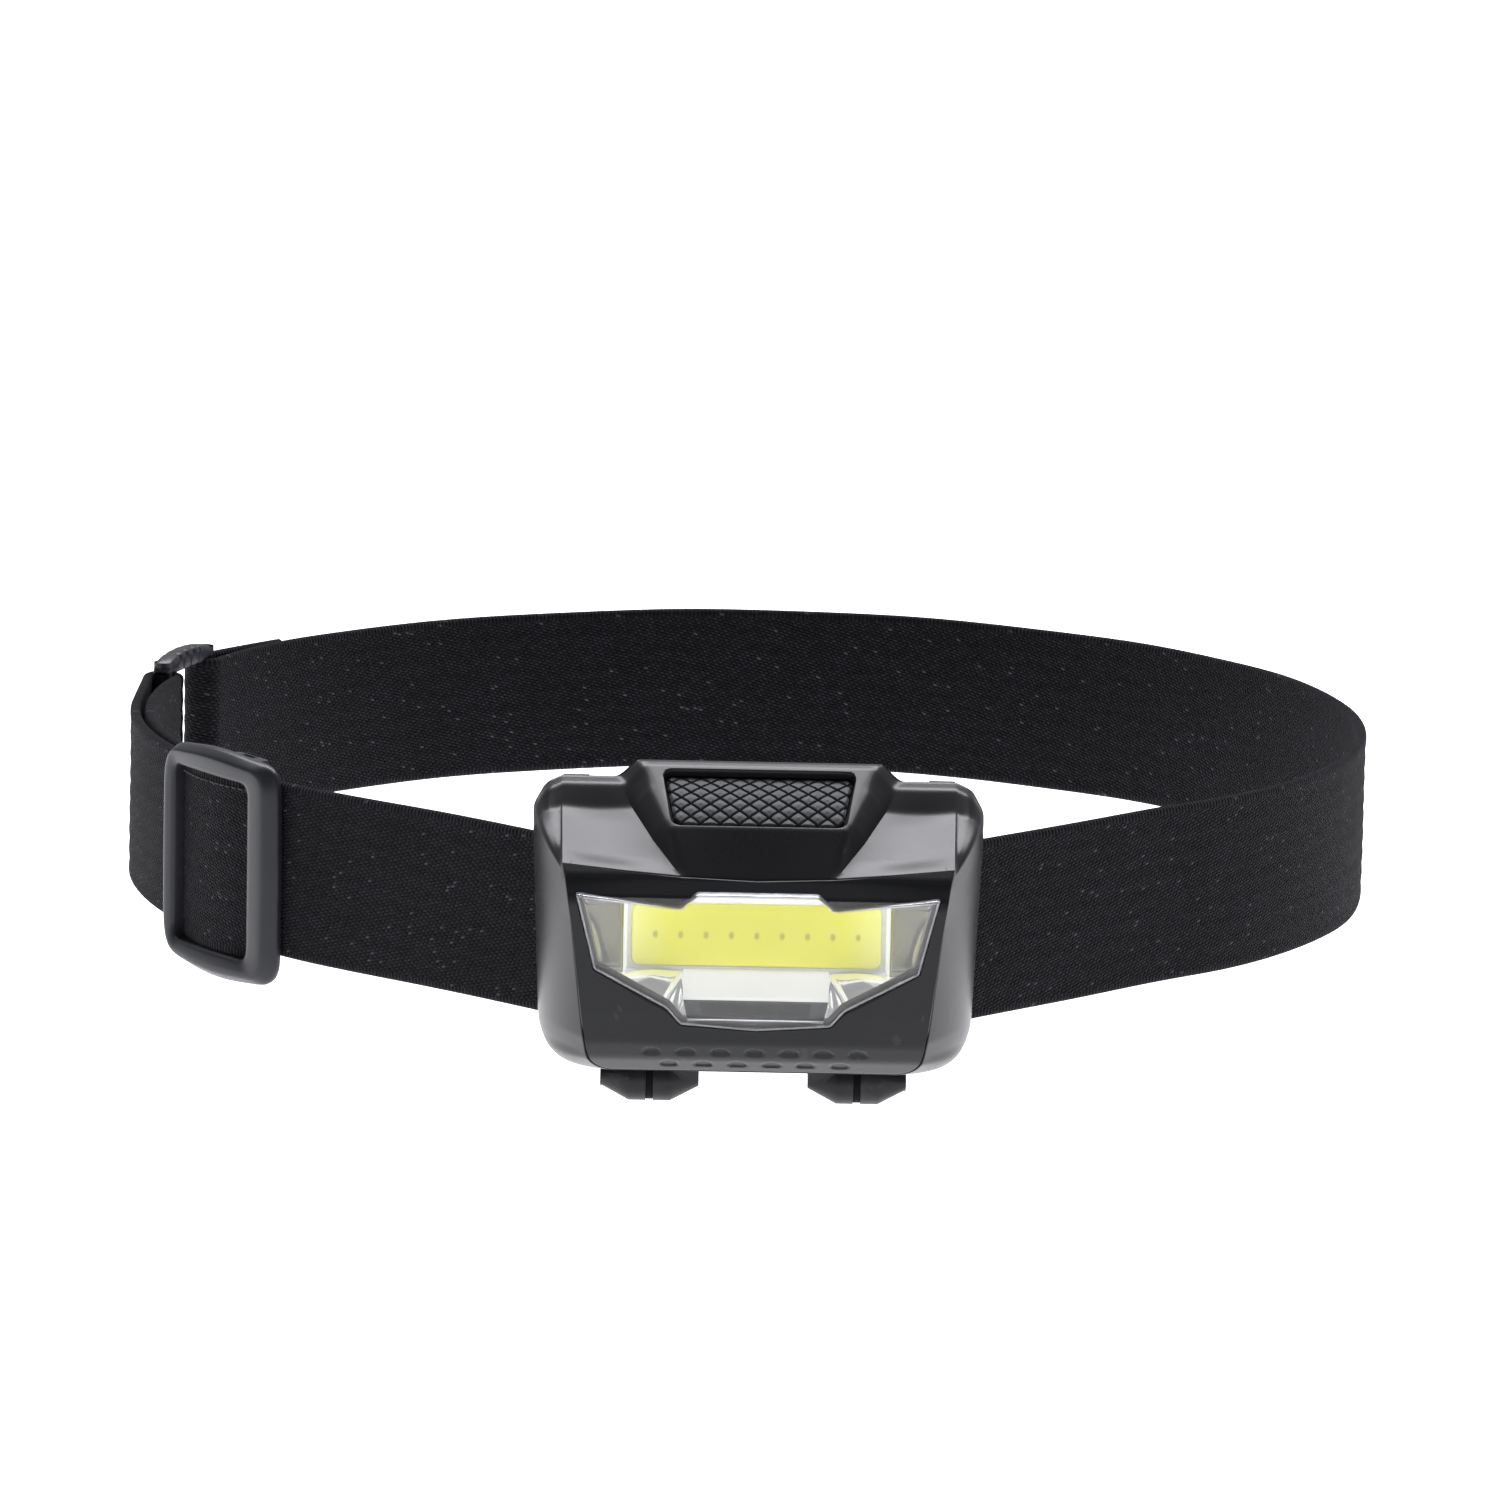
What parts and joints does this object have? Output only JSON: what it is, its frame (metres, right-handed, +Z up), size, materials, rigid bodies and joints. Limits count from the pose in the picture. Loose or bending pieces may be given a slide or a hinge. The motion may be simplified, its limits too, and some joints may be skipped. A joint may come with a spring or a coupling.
{
  "type": "headlamp",
  "caption": "Elastic-strap headlamp with a wide strip light, tilting lamp head on a forehead bracket, grip-textured push button, rear battery door and a sliding strap buckle.",
  "frame": {"origin": "centre of the head loop, halfway up the strap", "axes": "-Y out of the forehead through the lamp, +Z up along the head, +X to the right of someone looking at the lamp"},
  "size_m": [0.1813, 0.2181, 0.0471],
  "materials": {
    "strap_elastic": "woven elastic",
    "thread": "matte thread",
    "satin_black": "satin moulded",
    "matte_black": "fine matte texture",
    "buckle_plastic": "satin moulded",
    "button_rubber": "knurled",
    "door_grey": "satin",
    "clear_lens": "polished",
    "chrome_plate": "vacuum plated",
    "board_white": "solder mask",
    "board_green": "solder mask",
    "phosphor": "silicone",
    "dam_white": "silicone",
    "steel": "zinc plated",
    "nickel": "nickel plated",
    "cell_wrap": "printed-free wrap",
    "seal_rubber": "matte",
    "wire": "insulation",
    "chip": "moulded"
  },
  "bodies": {
    "strap_frame": {"head_strap": "strap_elastic", "strap_return": "strap_elastic", "tail_stitches": "thread", "rear_ring": "buckle_plastic", "holder_bracket": "satin_black", "hinge_pins": "steel"},
    "lamp_head": {"front_housing": "satin_black", "face_bezel": "matte_black", "lens": "clear_lens", "lens_gasket": "seal_rubber", "reflector": "chrome_plate", "led_board": "board_white", "led_phosphor": "phosphor", "led_dam": "dam_white", "switch_body": "steel", "control_board": "board_green", "driver_parts": "chip", "rear_housing": "satin_black", "battery_cells": "cell_wrap", "contact_plates": "nickel", "contact_springs": "nickel", "housing_screws": "steel", "battery_leads": "wire", "emitter_leads": "wire"},
    "button": {"button_cap": "button_rubber"},
    "plunger": {"switch_plunger": "chip"},
    "door": {"battery_door": "door_grey"},
    "slider": {"slider_buckle": "buckle_plastic", "strap_end_loop": "strap_elastic"}
  },
  "joints": [
    {"name": "lamp_tilt", "type": "hinge", "parent": "strap_frame", "child": "lamp_head", "pos_m": [0, -0.105, -0.0194], "axis": [1, 0, 0], "range_deg": [0, 90]},
    {"name": "button_press", "type": "slide", "parent": "lamp_head", "child": "button", "axis": [0, 0.4446, -0.8957], "range_m": [0, 0.0004], "stiffness_N_per_m": 1500, "springref_m": -0.0004},
    {"name": "plunger_press", "type": "slide", "parent": "lamp_head", "child": "plunger", "axis": [0, 0.4446, -0.8957], "range_m": [0, 0.0004]},
    {"name": "door_slide", "type": "slide", "parent": "lamp_head", "child": "door", "axis": [0, 0, 1], "range_m": [0, 0.03]},
    {"name": "slider_slide", "type": "hinge", "parent": "strap_frame", "child": "slider", "pos_m": [0, 0, 0], "axis": [0, 0, -1], "range_deg": [0, 19], "deforming": ["strap_return"]}
  ],
  "couplings": [
    {"joint": "plunger_press", "follows": "button_press", "ratio": 1}
  ]
}
